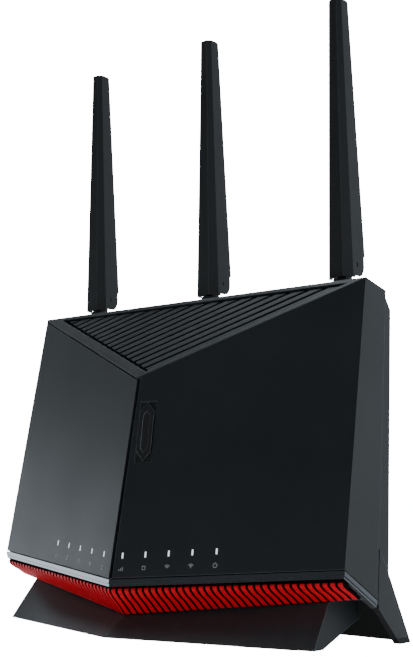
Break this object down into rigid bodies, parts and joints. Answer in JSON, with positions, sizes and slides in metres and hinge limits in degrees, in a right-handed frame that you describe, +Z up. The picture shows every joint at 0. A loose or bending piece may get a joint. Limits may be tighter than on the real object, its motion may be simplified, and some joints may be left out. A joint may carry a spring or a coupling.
{
  "type": "wireless router",
  "caption": "Upright faceted wireless router on a wedge foot and rear legs, with a ribbed red band, indicator slits, rear network sockets, push buttons and folding swivel aerials.",
  "frame": {"origin": "under the middle of the outer box, on the surface the feet stand on", "axes": "+X to the right seen from the front, +Y to the back where the sockets are, +Z up along the aerials"},
  "size_m": [0.2368, 0.0894, 0.325],
  "materials": {
    "shell_black": "fine textured matte black",
    "panel_grey": "fine textured dark grey",
    "trim_grey": "satin light grey",
    "rib_red": "glossy red",
    "badge_black": "piano black",
    "rubber_black": "moulded rubber",
    "clear_guide": "milky light guide",
    "lamp_white": "lamp bodies",
    "circuit_board": "green solder mask",
    "chip_black": "moulded chip",
    "pad_grey": "soft thermal pad",
    "sink_aluminium": "extruded",
    "shield_steel": "tinned steel",
    "screw_steel": "zinc plated",
    "frame_black": "moulded frame",
    "wan_blue": "blue socket body",
    "usb_blue": "blue socket body",
    "dc_black": "black socket body",
    "switch_grey": "switch body",
    "button_black": "satin black cap",
    "button_red": "red cap",
    "connector_nickel": "nickel plated",
    "nut_black": "black nut",
    "pin_steel": "turned pin",
    "aerial_black": "fine textured matte black",
    "radiator_copper": "copper strip",
    "lead_black": "coaxial lead",
    "lan_black": "black socket body"
  },
  "bodies": {
    "router": {"aerial_connectors": "connector_nickel", "aerial_leads": "lead_black", "badge": "badge_black", "board_rails": "frame_black", "board_screws": "screw_steel", "bottom_cover": "shell_black", "button_switches": "switch_grey", "case_screws": "screw_steel", "connector_nuts": "nut_black", "coupling_ring_left": "connector_nickel", "coupling_ring_middle": "connector_nickel", "coupling_ring_right": "connector_nickel", "dc_inlet": "dc_black", "edge_trim": "trim_grey", "fast_lan_socket": "lan_black", "front_foot": "shell_black", "front_heat_sink": "sink_aluminium", "front_shell": "shell_black", "lamp_boards": "circuit_board", "lan_socket_block": "lan_black", "lead_sockets": "connector_nickel", "left_panel": "panel_grey", "light_guides": "clear_guide", "main_board": "circuit_board", "memory_chips": "chip_black", "network_chips": "chip_black", "power_switch": "switch_grey", "processor": "chip_black", "radio_shields": "shield_steel", "rear_cover": "shell_black", "rear_heat_sink": "sink_aluminium", "rear_stand": "shell_black", "rib_band": "rib_red", "rubber_feet": "rubber_black", "socket_plate": "shell_black", "status_lamps": "lamp_white", "thermal_pads": "pad_grey", "usb_socket_left": "usb_blue", "usb_socket_right": "usb_blue", "vent_grille": "shell_black", "wan_socket": "wan_blue"},
    "power_button": {"power_button": "button_black"},
    "reset_button": {"reset_button": "button_red"},
    "wps_button": {"wps_button": "button_black"},
    "light_button": {"light_button": "button_black"},
    "swivel_left": {"swivel_base_left": "aerial_black"},
    "blade_left": {"blade_shell_left": "aerial_black", "blade_back_left": "aerial_black", "radiator_left": "radiator_copper", "hinge_pin_left": "pin_steel"},
    "swivel_middle": {"swivel_base_middle": "aerial_black"},
    "blade_middle": {"blade_shell_middle": "aerial_black", "blade_back_middle": "aerial_black", "radiator_middle": "radiator_copper", "hinge_pin_middle": "pin_steel"},
    "swivel_right": {"swivel_base_right": "aerial_black"},
    "blade_right": {"blade_shell_right": "aerial_black", "blade_back_right": "aerial_black", "radiator_right": "radiator_copper", "hinge_pin_right": "pin_steel"}
  },
  "joints": [
    {"name": "power_push", "type": "slide", "parent": "router", "child": "power_button", "axis": [0, -1, 0], "range_m": [0, 0.0016], "stiffness_N_per_m": 300},
    {"name": "reset_push", "type": "slide", "parent": "router", "child": "reset_button", "axis": [0, -1, 0], "range_m": [0, 0.0006], "stiffness_N_per_m": 250},
    {"name": "wps_push", "type": "slide", "parent": "router", "child": "wps_button", "axis": [0, -1, 0], "range_m": [0, 0.0008], "stiffness_N_per_m": 300},
    {"name": "light_push", "type": "slide", "parent": "router", "child": "light_button", "axis": [0, -1, 0], "range_m": [0, 0.0008], "stiffness_N_per_m": 300},
    {"name": "swivel_left_turn", "type": "hinge", "parent": "router", "child": "swivel_left", "pos_m": [-0.0893, 0.0335, 0.176], "axis": [0, 0, 1], "range_deg": [-180, 180]},
    {"name": "blade_left_fold", "type": "hinge", "parent": "swivel_left", "child": "blade_left", "pos_m": [-0.0893, 0.0355, 0.185], "axis": [-1, 0, 0], "range_deg": [0, 90]},
    {"name": "swivel_middle_turn", "type": "hinge", "parent": "router", "child": "swivel_middle", "pos_m": [0, 0.0335, 0.176], "axis": [0, 0, 1], "range_deg": [-180, 180]},
    {"name": "blade_middle_fold", "type": "hinge", "parent": "swivel_middle", "child": "blade_middle", "pos_m": [0, 0.0355, 0.185], "axis": [-1, 0, 0], "range_deg": [0, 90]},
    {"name": "swivel_right_turn", "type": "hinge", "parent": "router", "child": "swivel_right", "pos_m": [0.0893, 0.0335, 0.176], "axis": [0, 0, 1], "range_deg": [-180, 180]},
    {"name": "blade_right_fold", "type": "hinge", "parent": "swivel_right", "child": "blade_right", "pos_m": [0.0893, 0.0355, 0.185], "axis": [-1, 0, 0], "range_deg": [0, 90]}
  ]
}
